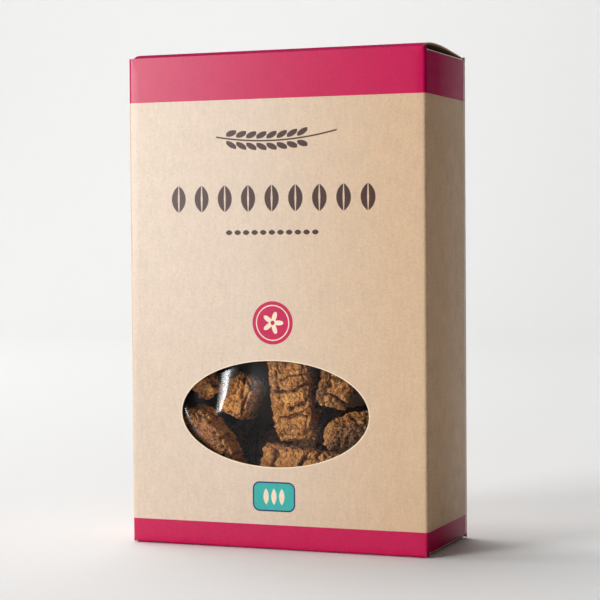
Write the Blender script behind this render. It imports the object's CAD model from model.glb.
# %% [markdown]
# # A box of biscotti
# A folding carton of kraft board with an oval window. Behind the window a clear bag holds
# twice-baked slices. The solids of the pack come from a packed CAD model, and this script
# gives every one of them its real surface. Sizes are in millimetres until a mesh is made.

# %% Load the frame
import math

import bpy
import numpy as np
from mathutils import Matrix, Vector


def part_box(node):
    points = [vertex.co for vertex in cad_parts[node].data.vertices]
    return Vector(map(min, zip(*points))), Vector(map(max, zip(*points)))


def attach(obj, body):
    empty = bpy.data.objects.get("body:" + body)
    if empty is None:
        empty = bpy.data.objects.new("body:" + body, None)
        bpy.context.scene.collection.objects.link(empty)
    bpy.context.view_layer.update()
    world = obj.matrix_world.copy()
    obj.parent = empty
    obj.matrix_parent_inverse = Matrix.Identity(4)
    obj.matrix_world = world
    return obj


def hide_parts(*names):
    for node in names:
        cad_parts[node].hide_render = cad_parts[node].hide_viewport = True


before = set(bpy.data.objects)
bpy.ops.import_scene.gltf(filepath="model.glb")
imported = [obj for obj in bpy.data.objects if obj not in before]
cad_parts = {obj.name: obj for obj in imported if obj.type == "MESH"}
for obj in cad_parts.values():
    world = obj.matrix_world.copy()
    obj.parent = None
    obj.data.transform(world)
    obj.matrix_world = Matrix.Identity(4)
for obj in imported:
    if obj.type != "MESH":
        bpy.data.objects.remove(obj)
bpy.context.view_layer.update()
MM = 0.001
carton_low, carton_high = [np.array(corner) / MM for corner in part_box("carton")]
print("carton", np.round(carton_high - carton_low, 2))

# %% [markdown]
# ## The camera
# The carton's corners in the photograph fix where the camera stood: about 0.8 m away, at two
# thirds of the carton's height, with a long lens. Yaw, pitch and roll are turned into three
# axes by hand, because that says plainly which way each angle goes.

# %% Camera
CAMERA_PLACE = (284.1, -725.5, 125.4)
YAW, PITCH, ROLL = np.radians([21.362, -1.884, -0.4256])
FOCAL_WIDTHS = 3.1359  # focal length in widths of the picture
SENSOR = 36.0


def camera_axes(yaw, pitch, roll):
    """Right, up and forward: turned left by yaw, then up by pitch, then anticlockwise by roll."""
    level = np.array([-math.sin(yaw), math.cos(yaw), 0.0])
    right = np.array([math.cos(yaw), math.sin(yaw), 0.0])
    up = np.array([0.0, 0.0, 1.0])
    forward = level * math.cos(pitch) + up * math.sin(pitch)
    tilted = up * math.cos(pitch) - level * math.sin(pitch)
    return (
        right * math.cos(roll) + tilted * math.sin(roll),
        tilted * math.cos(roll) - right * math.sin(roll),
        forward,
    )


def make_camera():
    right, up, forward = camera_axes(YAW, PITCH, ROLL)
    data = bpy.data.cameras.new("camera")
    data.sensor_width = SENSOR
    data.lens = FOCAL_WIDTHS * SENSOR
    data.clip_start, data.clip_end = 0.05, 20
    camera = bpy.data.objects.new("camera", data)
    turn = Matrix([(right[i], up[i], -forward[i]) for i in range(3)]).to_4x4()
    camera.matrix_world = Matrix.Translation(Vector(CAMERA_PLACE) * MM) @ turn
    bpy.context.scene.collection.objects.link(camera)
    bpy.context.scene.camera = camera
    return camera


camera = make_camera()
print("lens", round(camera.data.lens, 1), "mm")

# %% [markdown]
# ## Meshes from arrays
# Every new piece is a grid of points worked out by numpy. A grid of rows and columns gives its
# quads by simple index arithmetic, so one helper serves the board, the slices and the film.
# Points that fall together, at a pole or where two patches meet, are welded afterwards.

# %% Mesh helpers
import bmesh


def grid_faces(rows, columns, closed=False):
    """Quads between the neighbours of a grid; closed also joins the last column to the first."""
    i, j = np.meshgrid(np.arange(rows - 1), np.arange(columns - 1 + closed), indexing="ij")
    following = (j + 1) % columns
    near, far = i * columns, (i + 1) * columns
    corners = [near + j, near + following, far + following, far + j]
    return np.stack(corners, axis=-1).reshape(-1, 4)


def grid_patch(x, y, z, closed=False):
    """Points and faces of a grid; x, y and z may each vary along its rows, its columns or both."""
    points = np.stack(np.broadcast_arrays(x, y, z), axis=-1)
    return points.reshape(-1, 3), grid_faces(*points.shape[:2], closed)


def join_patches(patches):
    """Lays the points of several (points, faces) patches end to end."""
    starts = np.cumsum([0] + [len(points) for points, _ in patches[:-1]])
    points = np.concatenate([points for points, _ in patches])
    faces = np.concatenate([faces + start for (_, faces), start in zip(patches, starts)])
    return points, faces


def make_mesh(name, points, faces, attributes=None, weld=0.0):
    """A mesh object in metres from points in millimetres, with named numbers on its points."""
    mesh = bpy.data.meshes.new(name)
    mesh.from_pydata((points * MM).tolist(), [], faces.tolist())
    for key, values in (attributes or {}).items():
        mesh.attributes.new(key, "FLOAT", "POINT").data.foreach_set("value", values.astype(np.float32))
    if weld:
        work = bmesh.new()
        work.from_mesh(mesh)
        bmesh.ops.remove_doubles(work, verts=work.verts, dist=weld * MM)
        work.to_mesh(mesh)
        work.free()
    mesh.shade_smooth()
    piece = bpy.data.objects.new(name, mesh)
    bpy.context.scene.collection.objects.link(piece)
    return piece


def apply_modifiers(piece, sharp_degrees):
    """Keeps the mesh that the modifiers give, and shades it smooth except at folds past the angle."""
    graph = bpy.context.evaluated_depsgraph_get()
    made = bpy.data.meshes.new_from_object(piece.evaluated_get(graph))
    piece.modifiers.clear()
    piece.data = made
    made.shade_smooth()
    made.set_sharp_from_angle(angle=math.radians(sharp_degrees))


print("faces of a 2 by 3 grid", grid_faces(2, 3).tolist())

# %% [markdown]
# ## Noise
# Baked dough and creased film are uneven in a way that no formula of sines gives. Value noise
# blends random numbers on a cubic lattice, and cell noise measures how far the nearest of some
# scattered points is. Both are plain array arithmetic on a hash, so they repeat exactly.

# %% Noise helpers
def hashed(i, j, k, seed):
    """A number from 0 to 1 for each lattice point: whole-number products, mixed and cut to 16 bits."""
    mixed = (i * 374761393 + j * 668265263 + k * 1442695041 + seed * 974711) & 0xFFFFFFFF
    mixed = ((mixed ^ (mixed >> 13)) * 1274126177) & 0xFFFFFFFF
    return ((mixed ^ (mixed >> 16)) & 0xFFFF) / 65535.0


def value_noise(points, size, seed):
    """Lattice numbers a given size apart, blended by a smooth step along each axis; 0 to 1."""
    scaled = points / size
    cell = np.floor(scaled).astype(np.int64)
    part = scaled - cell
    part = part * part * (3 - 2 * part)
    total = np.zeros(len(points))
    for corner in range(8):
        step = np.array([corner & 1, (corner >> 1) & 1, (corner >> 2) & 1])
        weight = np.prod(np.where(step, part, 1 - part), axis=1)
        total += weight * hashed(*(cell + step).T, seed)
    return total


def rough_noise(points, size, seed, octaves=4):
    """Value noise summed over octaves, each half the size and 0.55 the strength of the last; 0 to 1."""
    strengths = 0.55 ** np.arange(octaves)
    layers = [value_noise(points, size / 2**n, seed + n) for n in range(octaves)]
    return sum(s * layer for s, layer in zip(strengths, layers)) / strengths.sum()


def cell_noise(points, size, seed):
    """Distances, in units of size, to the nearest and the next of one random point in each cell."""
    scaled = points / size
    cell = np.floor(scaled).astype(np.int64)
    nearest = np.full(len(points), 9.0)
    second = nearest.copy()
    for step in np.ndindex(3, 3, 3):
        around = cell + np.array(step) - 1
        centre = around + np.stack([hashed(*around.T, seed + n) for n in range(3)], axis=1)
        distance = np.linalg.norm(scaled - centre, axis=1)
        second = np.minimum(second, np.maximum(distance, nearest))
        nearest = np.minimum(nearest, distance)
    return nearest, second


print("noise test", np.round(rough_noise(np.eye(3) * 5, 2.0, 1), 3))

# %% [markdown]
# ## Arithmetic in shaders
# Printed shapes are worked out in the shader as distances, so they stay crisp at any size and
# need no image. A small class lets a formula be written with + and *, and adds one Math node
# for each step. Colours are given as they look on a screen and turned to linear light.

# %% Numbers on a surface
from functools import partialmethod


def connect(value, socket):
    """Links a number or a colour on the surface to a socket, or sets the socket to a plain value."""
    value = getattr(value, "socket", value)
    if isinstance(value, bpy.types.NodeSocket):
        socket.id_data.links.new(value, socket)
    else:
        socket.default_value = value


class Field:
    """A number on the surface, held by a node's socket."""

    def __init__(self, socket):
        self.socket = socket

    def then(self, operation, *others):
        node = self.socket.id_data.nodes.new("ShaderNodeMath")
        node.operation = operation
        for value, socket in zip((self, *others), node.inputs):
            connect(value, socket)
        return Field(node.outputs[0])

    __add__ = partialmethod(then, "ADD")
    __sub__ = partialmethod(then, "SUBTRACT")
    __mul__ = partialmethod(then, "MULTIPLY")
    __truediv__ = partialmethod(then, "DIVIDE")
    power = partialmethod(then, "POWER")
    lowest = partialmethod(then, "MINIMUM")
    highest = partialmethod(then, "MAXIMUM")
    size = partialmethod(then, "ABSOLUTE")

    def over(self, edge, blur):
        """0 below the edge and 1 above it, with a short ramp between."""
        ramp = (self - edge) / blur + 0.5
        ramp.socket.node.use_clamp = True
        return ramp

    def under(self, edge, blur):
        return (self.over(edge, blur) * -1.0) + 1.0


print("arithmetic", [name for name in vars(Field) if not name.startswith("_")])

# %% [markdown]
# A finish is one material: its shader, and the coordinates that its patterns are worked out
# from. Every pattern reads the place on the object itself, so it stays put from any view.

# %% Colours and finishes
def linear(red, green, blue):
    """A screen colour, 0 to 255, as linear light with full opacity."""
    share = np.array([red, green, blue]) / 255
    light = np.where(share <= 0.04045, share / 12.92, ((share + 0.055) / 1.055) ** 2.4)
    return (*light.tolist(), 1.0)


class Finish:
    """A node material under construction: its tree, its shader and its coordinates in millimetres."""

    def __init__(self, name, **settings):
        self.material = bpy.data.materials.new(name)
        self.material.use_nodes = True
        self.tree = self.material.node_tree
        self.shader = self.tree.nodes["Principled BSDF"]
        self.place = self.node("TexCoord").outputs["Object"]
        self.use(**settings)

    def fill(self, node, inputs):
        """Gives a node's inputs, named with _ for a space, their values."""
        for key, value in inputs.items():
            connect(value, node.inputs[key.replace("_", " ")])
        return node

    def node(self, kind, **inputs):
        return self.fill(self.tree.nodes.new("ShaderNode" + kind), inputs)

    def use(self, **inputs):
        self.fill(self.shader, inputs)

    def axes(self):
        """The surface point's x, y and z in millimetres."""
        return [Field(out) / MM for out in self.node("SeparateXYZ", Vector=self.place).outputs]

    def noise(self, size, detail=3.0, stretch=(1, 1, 1), roughness=0.5):
        """Noise with features of about size millimetres, longer where stretch is below 1."""
        place = self.node("Mapping", Vector=self.place, Scale=stretch).outputs[0]
        node = self.node("TexNoise", Vector=place, Scale=1 / (size * MM), Detail=detail, Roughness=roughness)
        return Field(node.outputs[0])

    def granules(self, size):
        """The distance, in units of size, to the nearest of scattered points about size apart."""
        return Field(self.node("TexVoronoi", Vector=self.place, Scale=1 / (size * MM)).outputs["Distance"])

    def attribute(self, name):
        node = self.node("Attribute")
        node.attribute_name = name
        return Field(node.outputs["Fac"])

    def mix(self, share, first, second):
        """The first colour where share is 0 and the second where it is 1."""
        node = self.node("Mix")
        node.data_type = "RGBA"
        for value, socket in ((share, "Factor"), (first, 6), (second, 7)):
            connect(value, node.inputs[socket])
        return node.outputs[2]

    def scale_colour(self, colour, share):
        """A colour made lighter or darker by a number on the surface."""
        node = self.node("VectorMath")
        node.operation = "SCALE"
        connect(colour, node.inputs[0])
        connect(share, node.inputs["Scale"])
        return node.outputs[0]

    def bump(self, height, depth):
        """Tiny relief: height from 0 to 1 stands for depth millimetres."""
        self.use(Normal=self.node("Bump", Height=height, Distance=depth * MM).outputs[0])


print("mid grey in linear light", round(linear(128, 128, 128)[0], 3))

# %% [markdown]
# ## The printed board
# The carton is uncoated kraft board: a warm sand colour with a fine cloudy grain and a few
# darker fibres. Two magenta bands run round its top and foot. The front carries a row of dark
# brown almonds, an ear of wheat, a round seal and a small teal label, and a pale unprinted line
# follows the window. The other walls are plain and a shade darker. Handling has rubbed the
# print off the side creases, and a pale strip shows where the sleeve is glued.

# %% Print layout, on the front, from the middle and up from the foot
HALF_X = (carton_high[0] - carton_low[0]) / 2
HALF_Y = (carton_high[1] - carton_low[1]) / 2
CORNER = 1.4
PANEL_HEIGHT = 200.0
SIDE_WORN = 198.2
BAND_TOP, BAND_FOOT = 181.3, 10.1
EAR_MIDDLE, EAR_HEIGHT, EAR_ANGLE = -2.0, 164.5, 0.42
GRAIN_PITCH, GRAINS = 4.4, 8
TITLE_WIDTH, TITLE_COUNT, TITLE_HEIGHT = 92.0, 9, 141.5
DOTS_WIDTH, DOTS_COUNT, DOTS_HEIGHT = 41.0, 11, 127.8
PRINT_MIDDLE = -0.8
SEAL_HEIGHT, SEAL_RADIUS, SEAL_RING = 91.5, 8.7, 7.0
LABEL_HEIGHT, LABEL_HALF = 21.5, (9.2, 6.0)
WINDOW_MIDDLE, WINDOW_HEIGHT = -0.6, 54.8
WINDOW_HALF = (40.5, 21.4)
WINDOW_LINE = 0.45
FRONT_DEPTH = 0.3
SEAM_START, SEAM_END = 3.6, 0.8  # distances from the back wall
INK_BLUR = 0.12

KRAFT = linear(219, 187, 153)
KRAFT_PALE = linear(224, 203, 182)
KRAFT_DARK = linear(200, 168, 130)
KRAFT_SIDE = linear(206, 172, 138)
MAGENTA = linear(200, 6, 80)
MAGENTA_SIDE = linear(174, 10, 76)
BROWN = linear(74, 46, 42)
CREAM = linear(248, 228, 200)
TEAL = linear(56, 178, 172)
NAVY = linear(36, 44, 98)
PULP = linear(236, 222, 212)
print("front panel", round(2 * HALF_X, 1), "by", PANEL_HEIGHT, "mm")

# %% [markdown]
# A printed shape is a formula for how far a place lies inside its outline, so a narrow ramp
# gives a crisp edge at any size. A row folds the panel into equal cells, and one almond drawn in
# the middle of a cell gives them all.

# %% Printed shapes
def length(first, second):
    """The distance from the origin: the root of the two squares' sum."""
    return (first * first + second * second).power(0.5)


def pointed_oval(across, along, half_width, half_length):
    """Millimetres inside the overlap of two equal circles that meet in two points."""
    radius = (half_width**2 + half_length**2) / (2 * half_width)
    return length(across.size() + (radius - half_width), along) * -1.0 + radius


def row_of(across, width, count):
    """Folds a row into its middle cell: the distance from the nearest of count places along width."""
    pitch = width / count
    place = (across + width / 2) / pitch
    return (place.then("FRACT") - 0.5) * pitch, across.size().under(width / 2, 0.01)


def wheat_ear(across, up):
    """Slanting grains in pairs along a stalk that curves a little."""
    bent = up - (across * across) * 0.004
    local, inside = row_of(across, GRAIN_PITCH * GRAINS, GRAINS)
    c, s = math.cos(EAR_ANGLE), math.sin(EAR_ANGLE)
    side = bent.size() - 2.3
    turned_along = local * c + side * s
    turned_across = side * c - local * s
    grains = pointed_oval(turned_across, turned_along, 1.15, 3.1).over(0, INK_BLUR) * inside
    stalk = bent.size().under(0.32, INK_BLUR) * (across - 4).size().under(26, INK_BLUR)
    return grains.highest(stalk)


def almond_row(across, up):
    """Upright almonds, each with a thin unprinted line down its middle."""
    local, inside = row_of(across, TITLE_WIDTH, TITLE_COUNT)
    almond = pointed_oval(local, up, 3.1, 5.5).over(0, INK_BLUR)
    vein = (local.size() + up.size() * 0.05).over(0.42, INK_BLUR)
    return almond * vein * inside


def seal_parts(across, up):
    """A disc, and on it a thin ring and a flower of five round petals."""
    radius = length(across, up)
    disc = radius.under(SEAL_RADIUS, INK_BLUR)
    ring = (radius - SEAL_RING).size().under(0.22, INK_BLUR)
    angle = up.then("ARCTAN2", across)
    petals = (angle * 5.0).then("COSINE") * 1.5 + 3.1
    flower = (radius - petals).under(0, INK_BLUR) * radius.over(0.9, INK_BLUR)
    return disc, ring.highest(flower)


def label_parts(across, up):
    """A rounded label: its whole shape, its field inside the outline, and three pale leaves on it."""
    def rounded(half_width, half_height, corner):
        past_x = (across.size() - (half_width - corner)).highest(0.0)
        past_z = (up.size() - (half_height - corner)).highest(0.0)
        return length(past_x, past_z).under(corner, INK_BLUR)

    whole = rounded(*LABEL_HALF, 3.0)
    field = rounded(LABEL_HALF[0] - 0.6, LABEL_HALF[1] - 0.6, 2.4)
    local, inside = row_of(across, 10.2, 3)
    leaves = pointed_oval(local, up, 1.15, 3.3).over(0, INK_BLUR) * inside
    return whole, field, leaves


def rim_distance(across, up):
    """Millimetres outside the window's ellipse: its equation over the length of its gradient."""
    half_width, half_height = WINDOW_HALF
    level = length(across / half_width, up / half_height)
    slope = length(across / half_width**2, up / half_height**2)
    return (level - 1.0) * level / slope


def worn_creases(up):
    """The creases at the sides' top and foot, where folding has rubbed the print off in a thin line."""
    return up.over(SIDE_WORN, 0.2).highest(up.under(PANEL_HEIGHT - SIDE_WORN, 0.2))


print("an almond every", round(TITLE_WIDTH / TITLE_COUNT, 1), "mm")

# %% [markdown]
# The inks lie over the kraft colour one by one. The board's inner side and its cut edges have
# the same grain without print, each in its own tone.

# %% Board finishes
def board_grain(finish):
    """Cloudy pulp and fine fibres, as one number around 1."""
    cloud = finish.noise(9.0, 2.0)
    pulp = finish.noise(0.8, 4.0, roughness=0.7)
    fibre = finish.noise(1.6, 2.0, stretch=(1.0, 1.0, 0.25))
    grain = (cloud - 0.5) * 0.10 + (pulp - 0.5) * 0.4 + (fibre - 0.5) * 0.14 + 1.0
    return grain, pulp


def front_print(finish, front, across, z, colour):
    """The inks of the front panel, one over the other."""
    dot, in_row = row_of(across, DOTS_WIDTH, DOTS_COUNT)
    disc, marks = seal_parts(across, z - SEAL_HEIGHT)
    label, field, leaves = label_parts(across, z - LABEL_HEIGHT)
    rim = rim_distance(across + (PRINT_MIDDLE - WINDOW_MIDDLE), z - WINDOW_HEIGHT)
    inks = [
        (wheat_ear(across - EAR_MIDDLE, z - EAR_HEIGHT), BROWN),
        (almond_row(across, z - TITLE_HEIGHT), BROWN),
        (pointed_oval(z - DOTS_HEIGHT, dot, 1.0, 1.45).over(0, INK_BLUR) * in_row, BROWN),
        (disc, MAGENTA),
        (marks, CREAM),
        (label, NAVY),
        (field, TEAL),
        (leaves, CREAM),
        (rim.under(WINDOW_LINE, 0.2), CREAM),
    ]
    for share, tint in inks:
        colour = finish.mix(share * front, colour, tint)
    return colour


def rubbed_places(finish, x, y, z, colour):
    """Bare pulp at the glued seam on the right and along the sides' creases at top and foot."""
    behind = y.over(HALF_Y - SEAM_START, 0.15) * y.under(HALF_Y - SEAM_END, 0.3)
    seam = x.over(HALF_X - 0.9, 0.4) * behind
    colour = finish.mix(seam * 0.6, colour, PULP)
    fold = x.size().over(HALF_X - 1.2, 0.3) * y.size().under(HALF_Y - CORNER, 0.2)
    return finish.mix(fold * worn_creases(z), colour, PULP)


def printed_board():
    """The outer side: kraft colour, its bands and, on the front panel only, its shapes."""
    finish = Finish("printed_kraft_board", Roughness=0.6, Specular_IOR_Level=0.0, Coat_Roughness=0.25)
    x, y, z = finish.axes()
    front = y.under(FRONT_DEPTH - HALF_Y, 0.1)
    grain, pulp = board_grain(finish)
    grain = (grain - 1.0) * (front * -1.5 + 2.5) + 1.0
    fleck = finish.noise(0.7, 1.0).over(0.72, 0.06)
    colour = finish.mix(x.under(20.0, 60.0), KRAFT, KRAFT_PALE)
    colour = finish.mix(front, KRAFT_SIDE, colour)
    colour = finish.mix(fleck * 0.5, colour, KRAFT_DARK)
    colour = front_print(finish, front, x - PRINT_MIDDLE, z, colour)
    band = z.over(BAND_TOP, INK_BLUR).highest(z.under(BAND_FOOT, INK_BLUR))
    colour = finish.mix(band, colour, finish.mix(front, MAGENTA_SIDE, MAGENTA))
    colour = rubbed_places(finish, x, y, z, colour)
    on_side = x.size().over(HALF_X - 0.9, 0.4)
    streaks = finish.noise(1.4, 2.0, stretch=(1.0, 1.0, 0.06)) * 0.9 + 0.1
    sheen = y.over(10.0, 44.0) * on_side * streaks
    finish.use(Base_Color=finish.scale_colour(colour, grain), Coat_Weight=front * 0.55 + sheen + 0.08)
    finish.bump(pulp, 0.2)
    return finish.material


def bare_board(name, tint, dark):
    """The unprinted side or the cut edge: the same grain, between two tones."""
    finish = Finish(name, Roughness=0.9)
    grain, pulp = board_grain(finish)
    finish.use(Base_Color=finish.scale_colour(finish.mix(pulp, tint, dark), grain))
    finish.bump(pulp, 0.05)
    return finish.material


board_materials = [
    printed_board(),
    bare_board("board_inside", linear(154, 120, 88), linear(144, 110, 80)),
    bare_board("board_cut_edge", linear(196, 166, 136), linear(182, 152, 122)),
]
print("board finishes", [material.name for material in board_materials])

# %% [markdown]
# ## The carton's skin
# A carton is one sheet of board, cut and folded. So the outer side is laid out as patches that
# share their borders: four walls, four rounded corners, and ribbons that fold over at the top
# and the foot. Welding the patches makes one skin, and Solidify gives it the board's thickness
# inwards, with its own finishes for the inner side and for the cut edge. The front patch runs
# from the window's ellipse out to the panel's border, so the window is a real cut.

# %% Carton sizes
BOARD = 0.6
FOLD = 1.3  # outer radius of a fold over a closure
RAW_EDGE = 0.5
SIDE_CREASE = 1.2
LID_RISE, LID_PLACE, LID_FALL = 2.2, 0.62, 0.2
LID_HALF = HALF_X - 1.7
TUCK_LENGTH, TUCK_TAPER = 15.0, 4.0
DUST_LENGTH, DUST_HALF = 38.0, HALF_Y - 2.6
DUST_STRAIGHT, DUST_TAPER = 11.0, 5.0  # how far a dust flap keeps its width, then how much it loses
SLIP_GAP = 0.3
FLAT_X, FLAT_Y = HALF_X - CORNER, HALF_Y - CORNER
HINGE_END = PANEL_HEIGHT - FOLD - LID_FALL
SIDE_END = PANEL_HEIGHT - SIDE_CREASE - FOLD


def spread(low, high, step, extra=()):
    """Evenly spaced values from low to high, at most step apart, with some extra values among them."""
    even = np.linspace(low, high, int(np.ceil((high - low) / step)) + 1)
    near = np.abs(even[:, None] - np.array(list(extra) or [np.inf])).min(axis=1) < step / 4
    near[[0, -1]] = False
    return np.unique(np.round(np.concatenate([even[~near], extra]), 4))


HEIGHTS = spread(
    RAW_EDGE, PANEL_HEIGHT - RAW_EDGE, 3.0,
    [PANEL_HEIGHT - HINGE_END, PANEL_HEIGHT - SIDE_END, SIDE_END, HINGE_END],
)
ACROSS = spread(-FLAT_X, FLAT_X, 3.0, [-LID_HALF, LID_HALF])
DEEP = spread(-FLAT_Y, FLAT_Y, 2.5, [-DUST_HALF, DUST_HALF])
print("places up, across and deep", len(HEIGHTS), len(ACROSS), len(DEEP))

# %% [markdown]
# The four walls and the corners between them stand on the same heights, so that their borders
# meet point to point. The front wall is the exception: its grid runs outwards from the window.

# %% Walls and corners
def wall_patch(start, end, low, high):
    """A flat wall, as rows of points from start to end in plan, at the heights from low to high."""
    heights = HEIGHTS[(HEIGHTS >= low - 1e-3) & (HEIGHTS <= high + 1e-3)]
    plan = np.stack([start, end])
    steps = ACROSS if abs(plan[0, 0] - plan[1, 0]) > 1 else DEEP
    share = (steps - steps[0]) / (steps[-1] - steps[0])
    foot = plan[0] + share[:, None] * (plan[1] - plan[0])
    return grid_patch(foot[:, 0], foot[:, 1], heights[:, None])


def corner_patch(sign_x, sign_y):
    """A quarter cylinder between two walls, with its angles in the order that faces outwards."""
    start = {(1, -1): -90, (1, 1): 0, (-1, 1): 90, (-1, -1): 180}[(sign_x, sign_y)]
    angles = np.radians(start + np.linspace(0, 90, 9))
    x = sign_x * FLAT_X + CORNER * np.cos(angles)
    y = sign_y * FLAT_Y + CORNER * np.sin(angles)
    return grid_patch(x, y, HEIGHTS[:, None])


def window_patch(rings=26):
    """The front wall: straight spokes from the ellipse to each point of the panel's border."""
    low, high = PANEL_HEIGHT - HINGE_END, PANEL_HEIGHT - RAW_EDGE
    sides = HEIGHTS[(HEIGHTS >= low - 1e-3) & (HEIGHTS <= high + 1e-3)]
    border = np.concatenate([
        np.stack([ACROSS[:-1], np.full(len(ACROSS) - 1, low)], axis=1),
        np.stack([np.full(len(sides) - 1, FLAT_X), sides[:-1]], axis=1),
        np.stack([ACROSS[:0:-1], np.full(len(ACROSS) - 1, high)], axis=1),
        np.stack([np.full(len(sides) - 1, -FLAT_X), sides[:0:-1]], axis=1),
    ])
    middle = np.array([WINDOW_MIDDLE, WINDOW_HEIGHT])
    half = np.array(WINDOW_HALF)
    angle = np.arctan2(*((border - middle) / half).T[::-1])
    rim = middle + half * np.stack([np.cos(angle), np.sin(angle)], axis=1)
    share = (np.linspace(0, 1, rings) ** 1.6)[:, None, None]
    flat = rim[None] * (1 - share) + border[None] * share
    points, faces = grid_patch(flat[..., 0], -HALF_Y, flat[..., 1], closed=True)
    return points, faces[:, ::-1]


print("quads of the front wall", len(window_patch()[1]))

# %% [markdown]
# The closures are ribbons: a line in a plane across the fold, carried along the crease. The lid
# turns over the back wall, rises a little over its middle and tucks in behind the front wall.
# The dust flaps turn in from the sides and grow narrower towards their ends.

# %% Closures
def fold_line(centre, radius, first, last, steps=7):
    """Points of an arc in a plane, between two angles in degrees."""
    angle = np.radians(np.linspace(first, last, steps))
    return np.array(centre) + radius * np.stack([np.cos(angle), np.sin(angle)], axis=1)


def lid_height(share, rise, fall):
    """The lid's outer side, from 0 at its tucked edge to 1 at its hinge: a sine pushed to the front."""
    return PANEL_HEIGHT - fall * (0.5 + 0.5 * share) + rise * np.sin(np.pi * share**LID_PLACE)


def lid_patch(rise, fall):
    """A ribbon from the hinge over the top and down behind the front wall."""
    back, front = HALF_Y - FOLD, -(HALF_Y - BOARD - SLIP_GAP - FOLD)
    share = np.linspace(1, 0, 30)[1:-1]
    line = np.concatenate([
        fold_line((back, lid_height(1, rise, fall) - FOLD), FOLD, 0, 90),
        np.stack([front + (back - front) * share, lid_height(share, rise, fall)], axis=1),
        fold_line((front, lid_height(0, rise, fall) - FOLD), FOLD, 90, 180),
        [[front - FOLD, PANEL_HEIGHT - TUCK_LENGTH]],
    ])
    steps = ACROSS[np.abs(ACROSS) <= LID_HALF + 1e-3][::-1]
    narrow = np.ones(len(line))
    narrow[-2:] = 1 - np.array([0.4, TUCK_TAPER]) / LID_HALF
    return grid_patch(steps * narrow[:, None], line[:, :1], line[:, 1:])


def dust_patch(side):
    """A ribbon from a side wall's crease inwards, narrower towards its free end."""
    reach = np.linspace(HALF_X - FOLD, HALF_X - DUST_LENGTH, 14)[1:]
    line = np.concatenate([
        fold_line((HALF_X - FOLD, SIDE_END), FOLD, 0, 90),
        np.stack([reach, np.full(len(reach), SIDE_END + FOLD)], axis=1),
    ])
    steps = DEEP[np.abs(DEEP) <= DUST_HALF + 1e-3]
    share = np.clip((HALF_X - DUST_STRAIGHT - line[:, :1]) / (DUST_LENGTH - DUST_STRAIGHT), 0, 1)
    narrow = 1 - share * DUST_TAPER / DUST_HALF
    return grid_patch(side * line[:, :1], side * steps * narrow, line[:, 1:])


def turned_over(patch):
    """The same patch at the foot: half a turn about the carton's middle, left to right."""
    points, faces = patch
    return points * [1, -1, -1] + [0, 0, PANEL_HEIGHT], faces


print("quads of a dust flap", len(dust_patch(1)[1]))

# %% [markdown]
# The flaps are made for the top and turned over for the foot, where the lid lies flat.

# %% Make the carton
def make_carton():
    low, high = PANEL_HEIGHT - SIDE_END, SIDE_END
    corners = [corner_patch(x, y) for x in (1, -1) for y in (1, -1)]
    walls = [
        window_patch(),
        wall_patch((HALF_X, -FLAT_Y), (HALF_X, FLAT_Y), low, high),
        wall_patch((-HALF_X, FLAT_Y), (-HALF_X, -FLAT_Y), low, high),
        wall_patch((FLAT_X, HALF_Y), (-FLAT_X, HALF_Y), RAW_EDGE, HINGE_END),
    ]
    top = [lid_patch(LID_RISE, LID_FALL), dust_patch(1), dust_patch(-1)]
    foot = [turned_over(patch) for patch in (lid_patch(0, LID_FALL), dust_patch(1), dust_patch(-1))]
    points, faces = join_patches(corners + walls + top + foot)
    piece = make_mesh("carton_board", points, faces, weld=0.02)
    for material in board_materials:
        piece.data.materials.append(material)
    solid = piece.modifiers.new("board", "SOLIDIFY")
    solid.thickness = BOARD * MM
    solid.offset = -1
    solid.use_even_offset = True
    solid.material_offset, solid.material_offset_rim = 1, 2
    apply_modifiers(piece, 40)
    return piece


carton = make_carton()
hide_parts("carton")
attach(carton, "root")
print("carton faces", len(carton.data.polygons))

# %% [markdown]
# ## The slices
# Each biscotto is a slice across a long baked log, and its size is its length, thickness and
# height. Two directions turn it: along the slice, and out of its crust. The edge gives the radius
# between crust and cut face at the dome's top and at the ends, and the tone says how pale it is
# baked. The cracks were read off the photograph, each as a few places on the unrolled crust.

# %% Slices that show in the window
def crack(depth, *places):
    """A crack: its depth, and the places it passes, each along the crust and across its thickness."""
    return depth, np.array(places, float)


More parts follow.
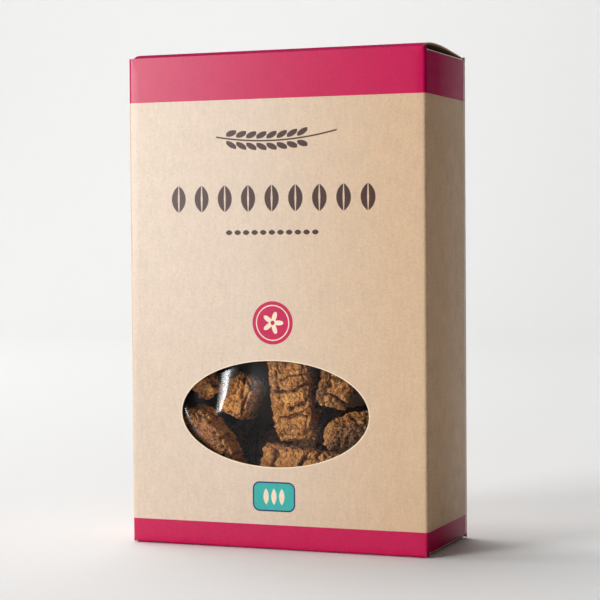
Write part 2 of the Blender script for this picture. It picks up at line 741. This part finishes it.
SLICES = {
    "biscotto_far_left": dict(
        at=(-40.5, -17.5, 75.5), along=(-0.5, 0.1, 0.95), crust=(-0.45, -1, -0.1),
        size=(35, 12, 11), edge=(2.4, 1.4), tone=1.2,
        cracks=[crack(1.3, (-22, -9), (-20, -3), (-21, 3)), crack(1.1, (-14, -7), (-13, 0), (-15, 6))]),
    "biscotto_upper_left": dict(
        at=(-26.1, -0.5, 59.6), along=(0.27, -0.95, 0.1), crust=(-0.9, -0.25, 0.4),
        size=(42, 19, 15.5), edge=(4.6, 4.4), tone=1.08,
        cracks=[
            crack(1.9, (23.2, 10.5), (24, 5), (25.4, 0.5)),
            crack(2.6, (27.6, 1.4), (28.4, -2.6), (29.6, -6)),
            crack(1.8, (19.2, -1.9), (20.4, -3.4), (19.6, -5.9)),
            crack(0.9, (24, -1.5), (21.6, -4.9), (23.6, -9.5)),
            crack(1.8, (25, 8.5), (28.2, 5.2), (31.6, 5.8)),
            crack(1.3, (31.5, 4), (30.8, -3.4), (30, -8)),
            crack(1.2, (16, 9), (17.5, 4), (16.5, 0)),
            crack(1.8, (20.2, 7.5), (21.4, 3.6), (20, 1.2)),
            crack(1.9, (27.6, 9), (29, 6.4), (33.5, 7), (35, 3)),
            crack(1.7, (34.5, 1), (33.4, -3.5), (34.6, -8)),
        ]),
    "biscotto_lower_left": dict(
        at=(-29.2, -17.4, 41), along=(0.52, 0.1, -0.85), crust=(0.85, -0.15, 0.52),
        size=(38.5, 12.5, 13), edge=(2.6, 2.6), tone=1.16,
        cracks=[
            crack(1.6, (-20, -8), (-18.5, -4), (-19, 3)), crack(1.1, (-9.6, -6), (-9, 0), (-10.5, 4)),
            crack(1.2, (-1.2, -7), (-2, -2), (-1.6, 4)), crack(1.2, (8, -7), (7, 0), (8, 5)),
        ]),
    "biscotto_centre": dict(
        at=(1.9, -14, 67), along=(-0.08, 0, 1), crust=(0.15, -1, 0.05),
        size=(50, 17, 16), edge=(3.6, 1.1), tone=1.0,
        cracks=[
            crack(2.5, (-4.6, 11.5), (-3.8, 7.5), (-3.6, 3.5)),
            crack(2.1, (-3.9, 3.5), (-3.5, -0.4)), crack(2.3, (-3.1, -1.6), (-2.7, -3.8), (-1.9, -10)),
            crack(1.5, (1, 3.1), (2.2, -0.8), (3, -5.5), (3.8, -9)),
            crack(2.0, (4.6, 4.7), (0.2, 4.7), (-3.5, 4.9)),
            crack(2.0, (-10.9, -0.2), (-9.9, -2.8), (-8.7, -9.5)),
            crack(1.0, (-5.5, 3.9), (-8.3, 2.4), (-12.3, 3.1)),
            crack(1.7, (-15.1, 4.5), (-13.9, -2), (-15.5, -7.5)), crack(1.3, (-13, 0), (-12.8, -5)),
            crack(1.8, (-23.9, 6.5), (-24.2, -0.4), (-25.5, -6.3)),
            crack(1.2, (-19, -1), (-20.5, -4), (-19.5, -8)),
        ]),
    "biscotto_upper_right": dict(
        at=(23.6, -13.4, 76.8), along=(0.2, 0.05, 1), crust=(0.35, -0.92, -0.2),
        size=(43, 15, 16), edge=(3.8, 2.2), tone=0.76,
        cracks=[
            crack(2.2, (-16.4, 4.2), (-16.2, 0.8)),
            crack(3.2, (-16.2, 1.4), (-17.8, -1.9), (-20.2, -4.5), (-22.6, -8)),
            crack(1.5, (-8.2, 2.6), (-9, -0.8), (-7.4, -3.4)),
            crack(1.7, (-11.8, 3), (-14.2, 4.9), (-15.2, 10)), crack(1.6, (-17.6, 3.8), (-19, 9)),
            crack(1.5, (-5, 3.6), (-11, 3.2), (-16, 4)),
        ]),
    "biscotto_lower_right": dict(
        at=(37, -7.6, 48), along=(1, 0.42, 0.02), crust=(-0.1, -0.5, 0.85),
        size=(45, 12.5, 14), edge=(2.6, 2.0), tone=0.7,
        cracks=[
            crack(0.9, (-21, 8), (-18, 2), (-16.5, -3)), crack(1.0, (-15, 5), (-14.5, 0), (-13.5, -6)),
            crack(0.9, (-10, 1), (-9, -3), (-9.5, -8)), crack(0.9, (-4, 2), (-5, -7)),
        ]),
    "biscotto_bottom": dict(
        at=(12.5, -14, 30.6), along=(1, 0.02, -0.13), crust=(0, -1, 0.1),
        size=(52, 17.5, 16), edge=(3.4, 2.0), tone=1.05,
        cracks=[
            crack(3.0, (-18.9, 13), (-18.2, 6), (-17.8, -5)),
            crack(2.4, (-2.9, 12), (-3.6, 6.2), (-5, 1.9), (-6, -3)),
            crack(1.5, (-3.8, 4.6), (-1.4, 5.8), (1.4, 5.2)),
            crack(1.7, (3.6, 12), (1.6, 7), (2.6, 4.2), (3, 0)),
            crack(1.1, (5.6, 8), (5.4, 4)), crack(1.8, (10.5, 12), (9.5, 6), (11, 0)),
        ]),
}
print("cracks", {name: len(data["cracks"]) for name, data in SLICES.items()})

# %% [markdown]
# A slice's outline is a dome on a flat foot: two halves of a superellipse, which bends like an
# ellipse but with fuller shoulders. The outline is swept through the thickness and closed over
# both cut faces, so that one grid covers the whole slice.

# %% Smooth form of a slice
DOME_SHARE, DOME_POWER = 0.82, 2 / 2.5
FOOT_POWER, FOOT_REACH = 2 / 5, 0.97
MIDDLE_SHARE = 0.32


def signed_power(value, exponent):
    return np.sign(value) * np.abs(value) ** exponent


def slice_outline(long, high, step):
    """Evenly spaced points round a dome on a flatter foot, both superellipses, and each one's signed
    way round from the top of the dome."""
    angle = -np.linspace(0, 2 * np.pi, 4001)
    c, s = np.cos(angle), np.sin(angle)
    dome = s >= 0
    power = np.where(dome, DOME_POWER, FOOT_POWER)
    u = long / 2 * np.where(dome, 1.0, FOOT_REACH) * signed_power(c, power)
    w = high * (np.where(dome, DOME_SHARE, 1 - DOME_SHARE) * signed_power(s, power) - MIDDLE_SHARE)
    run = np.concatenate([[0], np.cumsum(np.hypot(np.diff(u), np.diff(w)))])
    whole, top = run[-1], run[3000]
    even = np.linspace(0, whole, int(whole / step), endpoint=False)
    way = (even - top + whole / 2) % whole - whole / 2
    return np.interp(even, run, u), np.interp(even, run, w), way


def slice_form(size, edge, step):
    """The smooth slice on a grid of rows, from one cut face's middle over its rounded edge, across the
    crust and back, with each point's way round from the dome's top and across from the crust's middle.
    The edge has one radius at the dome's top and another at the slice's ends."""
    long, thick, high = size
    u, w, way = slice_outline(long, high, step)
    reach = np.hypot(u, w)
    crust_edge, end_edge = edge
    rise = np.clip((w / high + MIDDLE_SHARE) / DOME_SHARE, 0, 1)
    edges = end_edge + (crust_edge - end_edge) * rise
    face = np.linspace(0, 1, int(0.3 * long / step))[:-1]
    turn = np.linspace(0, np.pi / 2, int(crust_edge * np.pi / 2 / step) + 2)
    half = np.linspace(0, 1, int((thick / 2 - crust_edge) / step) + 2)[1:]

    def rows(on_face, on_turn, on_crust):
        """One value for each row, from the first cut face's middle to the crust's middle."""
        return np.concatenate([on_face + 0 * face, on_turn + 0 * turn, on_crust + 0 * half])[:, None]

    share = rows(face, 1, 1)
    inset = rows(1, 1 - np.sin(turn), 0) * edges
    depth = rows(0, 1 - np.cos(turn), 1) * edges + rows(0, 0, half) * (thick / 2 - edges) - thick / 2
    to_rim = rows((1 - face) * (high / 2 - crust_edge), 0, 0)
    arc = rows(np.pi / 2, np.pi / 2 - turn, 0) * edges + rows(1, 1, 1 - half) * (thick / 2 - edges)
    across = -(arc + to_rim)

    def mirrored(values, sign=1):
        return np.concatenate([values, sign * values[:-1][::-1]])

    scale = mirrored(share * (1 - inset / reach))
    depth, across = mirrored(depth, -1), mirrored(across, -1)
    points = np.stack([u * scale, depth, w * scale], axis=-1)
    return points, np.broadcast_to(way, scale.shape), across


def grid_normals(points):
    """Unit normals of a grid closed along its columns: the cross product of its two differences."""
    along = np.roll(points, -1, axis=1) - np.roll(points, 1, axis=1)
    across = np.gradient(points, axis=0)
    normal = np.cross(along, across)
    normal /= np.maximum(np.linalg.norm(normal, axis=-1, keepdims=True), 1e-9)
    normal[0], normal[-1] = normal[1].mean(axis=0), normal[-2].mean(axis=0)
    return normal


def blurred(normal, passes):
    """Normals averaged with their neighbours again and again, so that they fan out over an edge."""
    for _ in range(passes):
        normal = normal + 0.5 * (np.roll(normal, 1, axis=1) + np.roll(normal, -1, axis=1))
        normal[1:-1] += normal[:-2] + normal[2:]
        normal /= np.linalg.norm(normal, axis=-1, keepdims=True)
    return normal


print("a slice 50 mm long and 16 mm high is", len(slice_outline(50, 16, 1.0)[2]), "mm round")

# %% [markdown]
# The dough's surface then moves inwards: broad lumps, crags and granules, cracks along the given
# lines, small plates between them, crumbled rims, and pores in the cut faces. Moving only inwards
# keeps every slice within the solid that stands for it.

# %% Cracks and crumbs
LUMP_SIZES, LUMP_DEPTHS = (8.5, 4.2), (1.2, 0.6)
CRAG_SIZE, CRAG_DEPTH = 3.4, 1.1
GRANULE_SIZE, GRANULE_DEPTH = 1.8, 1.2
CRUMBLE_WIDTH, CRUMBLE_DEPTH = 1.5, 1.5
PLATE_SIZE, PLATE_DEPTH, PLATE_GAP = 5.2, 1.1, 0.11
PORE_SIZE, PORE_DEPTH = 2.0, 1.4
VALLEY_WIDTH, VALLEY_SHARE = 1.7, 0.25
SURFACE_LEVEL = 1.15


def smooth_step(value, low, high):
    share = np.clip((value - low) / (high - low), 0, 1)
    return share * share * (3 - 2 * share)


def bell(distance, width):
    """1 on a line, falling away as a bell curve."""
    return np.exp(-((distance / width) ** 2))


def distance_to(places, line):
    """The least distance from each place to a line through several points."""
    least = np.full(len(places), 99.0)
    for start, end in zip(line[:-1], line[1:]):
        step = end - start
        share = np.clip((places - start) @ step / (step @ step), 0, 1)
        least = np.minimum(least, np.linalg.norm(places - start - share[:, None] * step, axis=1))
    return least


def crack_relief(points, unrolled, ragged, cracks, seed):
    """Depths of the grooves along the cracks and of the shallow valleys that they lie in: bell
    curves of the distance to each line, whose course and strength wander."""
    swerve = np.stack([rough_noise(points, 7.0, seed + n, 2) - 0.5 for n in (30, 34)], axis=1)
    torn = unrolled + 2.4 * ragged + 1.6 * swerve
    strength = smooth_step(value_noise(points, 2.2, seed + 40), 0.05, 0.6)
    narrow = 0.3 + 0.45 * value_noise(points, 3.0, seed + 44)
    groove, valley = np.zeros(len(points)), np.zeros(len(points))
    for depth, line in cracks:
        off = distance_to(torn, line)
        opening = depth * (0.45 + 0.55 * strength) * bell(off, narrow + 0.12 * depth)
        groove = np.maximum(groove, opening)
        valley = np.maximum(valley, VALLEY_SHARE * depth * bell(off, VALLEY_WIDTH))
    return groove, valley


def slice_relief(points, unrolled, cut, thick, cracks, seed):
    """Depths in millimetres: of everything that breaks the smooth form, of the hollows, of the grain."""
    ragged = np.stack([rough_noise(points, 2.4, seed + n) - 0.5 for n in (20, 24)], axis=1)
    groove, valley = crack_relief(points, unrolled, ragged, cracks, seed)
    lumps = LUMP_DEPTHS[0] * value_noise(points, LUMP_SIZES[0], seed)
    lumps += LUMP_DEPTHS[1] * value_noise(points, LUMP_SIZES[1], seed + 3)
    granule, _ = cell_noise(points + 1.2 * ragged[:, :1], GRANULE_SIZE, seed + 16)
    fine = 0.5 * rough_noise(points, GRANULE_SIZE, seed + 13, 2)
    fine += GRANULE_DEPTH * np.minimum(granule, 1) ** 1.5
    crags = CRAG_DEPTH * np.abs(rough_noise(points, CRAG_SIZE, seed + 9) - 0.5) + fine
    rim = bell(np.abs(unrolled[:, 1]) - thick / 2, CRUMBLE_WIDTH)
    crumbled = CRUMBLE_DEPTH * rim * smooth_step(rough_noise(points, 2.2, seed + 50, 3), 0.35, 0.75)
    warp = np.stack([rough_noise(points, 3.0, seed + n) for n in (60, 64, 68)], axis=1)
    warped = points + 2.2 * warp
    nearest, second = cell_noise(warped, PLATE_SIZE, seed + 80)
    where = smooth_step(value_noise(points, 7.0, seed + 85), 0.25, 0.55)
    plates = PLATE_DEPTH * where * (1 - cut) * bell(second - nearest, PLATE_GAP)
    near_pore, _ = cell_noise(warped * [1.3, 1.0, 0.8], PORE_SIZE, seed + 90)
    pored = smooth_step(value_noise(points, 3.6, seed + 95), 0.2, 0.55)
    pores = PORE_DEPTH * cut * smooth_step(0.46 - near_pore, 0, 0.28) * pored
    holes = np.maximum(np.maximum(groove, plates), pores)
    depth = lumps + crags + crumbled + valley + holes - SURFACE_LEVEL
    return depth, holes + 0.5 * crumbled, fine


print("bell curve at 0, 1 and 2 widths", np.round(bell(np.arange(3), 1.0), 3))

# %% [markdown]
# Each slice is then turned into its place. Four numbers stay on its points for the finish: how
# far a point belongs to a cut face, how deep its hollow is, its grain and its tone.

# %% Placing a slice
def pose_axes(along, crust):
    """The slice's own axes in the carton: along it, across its cut faces, and out of its crust."""
    u = np.array(along, float) / np.linalg.norm(along)
    w = np.array(crust, float) - np.dot(crust, u) * u
    w /= np.linalg.norm(w)
    return np.stack([u, np.cross(w, u), w])


def slice_patch(data, seed, step):
    """Points in place, faces and the numbers that colour the dough: cut face, hollow, grain and tone."""
    grid, way, across = slice_form(data["size"], data["edge"], step)
    columns = grid.shape[1]
    normal = grid_normals(grid)
    cut = smooth_step(np.abs(normal[..., 1]).reshape(-1), 0.75, 0.96)
    spread_out = blurred(normal, int(8 / step)).reshape(-1, 3)
    flat = grid.reshape(-1, 3)
    unrolled = np.stack([way.reshape(-1), across.reshape(-1)], axis=1)
    thick = data["size"][1]
    depth, hollow, grain = slice_relief(flat, unrolled, cut, thick, data["cracks"], seed)
    moved = flat - spread_out * depth[:, None]
    for pole in (slice(None, columns), slice(-columns, None)):
        moved[pole] = moved[pole].mean(axis=0)
    placed = moved @ pose_axes(data["along"], data["crust"]) + np.array(data["at"])
    numbers = {"cut": cut, "hollow": hollow, "grain": grain, "tone": np.full(len(placed), data["tone"])}
    return placed, grid_faces(*grid.shape[:2], closed=True), numbers


print("axes of an upright slice", pose_axes((0, 0, 1), (0, -1, 0)).tolist())

# %% [markdown]
# ## Baked dough
# Cocoa-flecked dough bakes to a matt golden brown. The crust is mottled, the insides of cracks
# are darker, and the cut faces are a little greyer with near-black crumbs of chocolate. The
# shader reads the numbers that the shape left on its points, so colour and relief agree.

# %% Dough finish
CRUST_PALE = linear(248, 180, 104)
CRUST_DARK = linear(196, 122, 62)
CUT_DOUGH = linear(188, 126, 76)
CRACK_DOUGH = linear(84, 46, 26)
CHOCOLATE = linear(48, 28, 24)


def baked_dough():
    finish = Finish("baked_dough", Roughness=0.85)
    cut, hollow, grain, tone = [finish.attribute(name) for name in ("cut", "hollow", "grain", "tone")]
    patches = finish.noise(5.0, 4.0, roughness=0.6)
    crumbs = finish.noise(0.85, 3.0, roughness=0.8)
    crust = finish.mix(patches.over(0.5, 0.35), CRUST_PALE, CRUST_DARK)
    colour = finish.mix(cut, crust, CUT_DOUGH)
    chips = finish.noise(2.6, 2.0).over(0.63, 0.05)
    colour = finish.mix(chips * (cut * 0.8 + 0.1), colour, CHOCOLATE)
    colour = finish.mix(hollow.over(0.9, 1.1) * 0.85, colour, CRACK_DOUGH)
    granules = finish.granules(0.8)
    speckle = (crumbs - 0.5) * 4.0 - (grain - 0.65) * 0.7 - (granules - 0.45) * 1.2 + 1.36
    finish.use(Base_Color=finish.scale_colour(colour, (speckle * tone).lowest(1.5)))
    finish.bump(crumbs - granules * 0.7, 1.5)
    return finish.material


dough = baked_dough()
print("finish", dough.name)

# %% [markdown]
# Each visible slice stands in for the solid of its own name, on a grid fine enough for crumbs.

# %% Make the visible slices
SURFACE_STEP = 0.35


def make_slice(name, data, seed):
    points, faces, numbers = slice_patch(data, seed, SURFACE_STEP)
    piece = make_mesh(name + "_baked", points, faces, numbers, weld=0.002)
    piece.data.materials.append(dough)
    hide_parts(name)
    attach(piece, "root")
    return piece


slices = [make_slice(name, data, 100 * n) for n, (name, data) in enumerate(SLICES.items(), start=1)]
for piece in slices:
    print(piece.name, len(piece.data.polygons), "faces")

# %% [markdown]
# ## Slices further in
# Behind the slices that show, the bag is full: two levels of upright slices stand close
# together and close the view to the back of the carton. They reuse the same form with a coarser
# grid. The places next to the slice that points backwards are shorter, to leave room for it.

# %% Bag contents
CONTENT_STEP = 1.1
CONTENT_DEEP = 14.0
CONTENT_HOLLOW = 1.2  # darkens them, as the light hardly reaches them through the front slices
CONTENT_LEVELS = [
    # middle, length, places from left to right
    (30.0, 50.0, (-51, 0, 17, 34, 51)),
    (26.0, 42.0, (-34, -17)),
    (78.5, 39.0, (-43, 0, 17, 34, 50)),
    (86.0, 24.0, (-26.5, -9.5)),
]


def make_contents():
    """Upright slices, each leaning a little its own way, joined in one mesh."""
    chance = np.random.default_rng(5)
    patches, numbers = [], []
    for middle, long, places in CONTENT_LEVELS:
        for x in places:
            lean = chance.uniform(-0.04, 0.04, 2)
            data = dict(
                at=(x, CONTENT_DEEP, middle), along=(lean[0], lean[1], 1), crust=(0.1 * lean[0], -1, 0),
                size=(long, 14.5, 18), edge=(2.5, 2.0), tone=1.0, cracks=[],
            )
            points, faces, values = slice_patch(data, 900 + 10 * len(patches), CONTENT_STEP)
            patches.append((points, faces))
            values["hollow"] = values["hollow"] + CONTENT_HOLLOW
            numbers.append(values)
    points, faces = join_patches(patches)
    values = {key: np.concatenate([each[key] for each in numbers]) for key in numbers[0]}
    piece = make_mesh("bag_contents", points, faces, values, weld=0.002)
    piece.data.materials.append(dough)
    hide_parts("bag")
    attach(piece, "root")
    return piece


contents = make_contents()
print("contents", len(contents.data.polygons), "faces")

# %% [markdown]
# ## The clear bag
# The inner bag is thin clear film. Its form is the solid's: a superellipse in plan whose size
# follows another superellipse up the height. In front the film lies close over the slices. The
# height of the slices under it is measured on a grid, and the film's depth is the lowest of many
# parabolas that stand on that grid, which is how a stretched sheet bridges the gaps. Two folds
# are drawn by hand, because the photograph shows where they catch the light.

# %% Film
BAG_HALF = (61.8, 25.3)
BAG_FOOT, BAG_HEIGHT = 2.4, 110.0
BAG_PLAN, BAG_SHOULDER = 5, 3.2
FILM_NEAREST, FILM_DEEPEST = -26.55, -23.4
FILM_CELL = 1.0
FILM_X = np.arange(-56, 57, FILM_CELL)
FILM_Z = np.arange(10, 106, FILM_CELL)
CLING, TAUT_LEVEL, OUTWARDS = 0.15, -25.4, 0.6
LEAN, LEAN_START = 0.06, 52.0


def nearest_depths():
    """For each cell of the front, the y of the foremost slice point in it, or a far value."""
    depths = np.full((len(FILM_Z), len(FILM_X)), -8.0)
    for piece in slices:
        flat = np.zeros(len(piece.data.vertices) * 3)
        piece.data.vertices.foreach_get("co", flat)
        x, y, z = flat.reshape(-1, 3).T / MM
        i = np.round((z - FILM_Z[0]) / FILM_CELL).astype(int)
        j = np.round((x - FILM_X[0]) / FILM_CELL).astype(int)
        inside = (i >= 0) & (i < len(FILM_Z)) & (j >= 0) & (j < len(FILM_X))
        np.minimum.at(depths, (i[inside], j[inside]), y[inside])
    return depths


def bridged(depths, stiffness):
    """The lowest of parabolas on every cell: the least depth + stiffness * distance squared."""
    for axis in (0, 1):
        lines = np.moveaxis(depths, axis, 0)
        away = stiffness * (np.arange(len(lines))[:, None] - np.arange(len(lines))) ** 2
        lines = (lines[None] + away[..., None]).min(axis=1)
        depths = np.moveaxis(lines, 0, axis)
    return depths


def softened(values, passes):
    """Averages with the neighbours along both axes, again and again; the border stays."""
    values = values.copy()
    for _ in range(passes):
        values[1:-1] = (values[:-2] + 2 * values[1:-1] + values[2:]) / 4
        values[:, 1:-1] = (values[:, :-2] + 2 * values[:, 1:-1] + values[:, 2:]) / 4
    return values


def pleat(x, z, line, near, far):
    """A fold along a line, 1 on it: it fades over a distance near on the left and far on the right,
    and it narrows towards the line's foot."""
    places = np.stack([x, z], axis=1)
    off = distance_to(places, line)
    foot, head = line[-1, 1], line[0, 1]
    middle = np.interp(z, *line[::-1].T[::-1])
    width = np.where(x < middle, near, far) * (0.3 + 0.7 * smooth_step(z, foot, head))
    return smooth_step(1 - off / width, 0, 1)


FOLDS = [
    (np.array([(-18.8, 76.0), (-21.0, 66.0), (-24.5, 55.0)]), 0.65, 6.5, 9.0),
    (np.array([(-42.5, 61.0), (-40.5, 55.0), (-37.5, 50.0), (-33.0, 45.5)]), 0.5, 2.2, 7.0),
]
sheet = softened(bridged(nearest_depths(), 0.035), 12)
print("sheet from y", round(sheet.min(), 2), "to", round(sheet.max(), 2))

# %% [markdown]
# The film is made of rings. At the sides and the back it is the bag's own form, a little creased,
# and towards the front it goes over into the sheet that was worked out above.

# %% Film in place
def film_depth(x, z):
    """The film's y in front: mostly taut, a little of the bridged slices, leaning back higher up, with
    a slow waviness and the two folds."""
    i = np.clip((z - FILM_Z[0]) / FILM_CELL, 0, len(FILM_Z) - 1.001)
    j = np.clip((x - FILM_X[0]) / FILM_CELL, 0, len(FILM_X) - 1.001)
    i0, j0 = i.astype(int), j.astype(int)
    di, dj = i - i0, j - j0
    below = sheet[i0, j0] * (1 - dj) + sheet[i0, j0 + 1] * dj
    above = sheet[i0 + 1, j0] * (1 - dj) + sheet[i0 + 1, j0 + 1] * dj
    y = CLING * (below * (1 - di) + above * di) + (1 - CLING) * TAUT_LEVEL - OUTWARDS
    y += LEAN * np.maximum(z - LEAN_START, 0)
    places = np.stack([x, 0 * x, z], axis=1)
    y += 0.6 * (rough_noise(places, 14.0, 300, 2) - 0.5)
    for line, rise, near, far in FOLDS:
        y -= rise * pleat(x, z, line, near, far)
    return np.clip(y, FILM_NEAREST, FILM_DEEPEST)


def make_film(around=440, levels=150):
    """Rings round the bag from its foot to its top, each a superellipse in plan; where a ring passes
    the front, the film's own depth."""
    angle = np.linspace(0, 2 * np.pi, around, endpoint=False)
    c, s = np.cos(angle), np.sin(angle)
    lift = -np.cos(np.pi * (np.arange(levels) + 0.5) / levels)
    reach = (1 - np.abs(lift) ** BAG_SHOULDER) ** (1 / BAG_SHOULDER)
    z = BAG_FOOT + BAG_HEIGHT * (1 + lift) / 2
    x = BAG_HALF[0] * reach[:, None] * signed_power(c, 2 / BAG_PLAN)
    y = BAG_HALF[1] * reach[:, None] * signed_power(s, 2 / BAG_PLAN)
    z = np.broadcast_to(z[:, None], x.shape)
    points = np.stack([x, y, z], axis=-1).reshape(-1, 3)
    crease = rough_noise(points * [1, 1, 0.35], 9.0, 320, 3) - 0.5
    points[:, :2] *= 1 + 0.03 * crease[:, None] - 0.015
    front = smooth_step(-points[:, 1], 16, 21) * smooth_step(52 - np.abs(points[:, 0]), 0, 6)
    front *= smooth_step(points[:, 2], 14, 24) * smooth_step(104 - points[:, 2], 0, 10)
    points[:, 1] += front * (film_depth(points[:, 0], points[:, 2]) - points[:, 1])
    ends = np.array([[0, 0, BAG_FOOT], [0, 0, BAG_FOOT + BAG_HEIGHT]])
    first, last = len(points), len(points) + 1
    ring = np.arange(around)
    after = (ring + 1) % around
    foot_cap = np.stack([ring * 0 + first, after, ring], axis=1)
    top = (levels - 1) * around
    top_cap = np.stack([top + ring, top + after, ring * 0 + last], axis=1)
    faces = grid_faces(levels, around, closed=True).tolist() + foot_cap.tolist() + top_cap.tolist()
    points = np.concatenate([points, ends])
    doubled = sum(pleat(points[:, 0], points[:, 2], line, near, 2.5) for line, _, near, _ in FOLDS)
    in_front = points[:, 1] < -20
    return points, np.array(faces, dtype=object), doubled * in_front


def clear_film():
    """Film shows as what it mirrors: a little where it faces the eye, more where it turns away, and
    more where it is folded double."""
    finish = Finish("clear_film", Roughness=0.16, Metallic=0.8, Base_Color=(1, 1, 1, 1))
    turned = Field(finish.node("LayerWeight", Blend=0.25).outputs["Facing"])
    finish.use(Alpha=turned.power(2.0) * 0.3 + finish.attribute("doubled") * 0.115 + 0.015)
    return finish.material


film_points, film_faces, doubled = make_film()
film = make_mesh("bag_film", film_points, film_faces, {"doubled": doubled})
film.data.materials.append(clear_film())
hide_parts("bag")
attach(film, "root")
print("film faces", len(film.data.polygons))

# %% [markdown]
# ## Floor and light
# The pack stands on a pale sweep that curves up behind it. A tall soft light on the left does
# most of the work and leaves the right side in shade; a weaker one above keeps the floor pale.

# %% Floor and lights
FLOOR_GREY = linear(246, 246, 246)


def make_floor():
    """A sweep: flat under the pack, then a quarter circle, then upright; the same all along x."""
    radius, reach, wide = 900.0, 1500.0, 4000.0
    bend = fold_line((reach, radius), radius, -90, 0, 24)
    line = np.concatenate([[[-2500.0, 0.0]], bend, [[reach + radius, 4000.0]]])
    floor = make_mesh("floor", *grid_patch([-wide, wide], line[:, :1], line[:, 1:]))
    floor.data.materials.append(Finish("pale_floor", Roughness=0.9, Base_Color=FLOOR_GREY).material)
    return floor


def soft_light(name, place, aim, size, power):
    """A rectangular light at place, turned to face aim; its size in metres and its power in watts."""
    data = bpy.data.lights.new(name, "AREA")
    data.shape = "RECTANGLE"
    data.size, data.size_y = size
    data.energy = power
    light = bpy.data.objects.new(name, data)
    light.location = Vector(place) * MM
    light.rotation_euler = (Vector(aim) - Vector(place)).to_track_quat("-Z", "Y").to_euler()
    bpy.context.scene.collection.objects.link(light)
    return light


make_floor()
soft_light("key_light", (-1400, -1880, 560), (0, 0, 110), (0.86, 1.35), 47)
soft_light("top_light", (-1300, 500, 2200), (-900, 500, 0), (2.2, 2.6), 56)
world = bpy.data.worlds.new("studio")
world.use_nodes = True
warm, strength = world.node_tree.nodes["Background"].inputs[:2]
warm.default_value = (1, 0.86, 0.72, 1)
strength.default_value = 0.04
bpy.context.scene.world = world
bpy.context.scene.view_settings.view_transform = "Standard"

# %% [markdown]
# ## Sizes
# The CAD model's box and the scene's own box are written down, so that they can be compared.
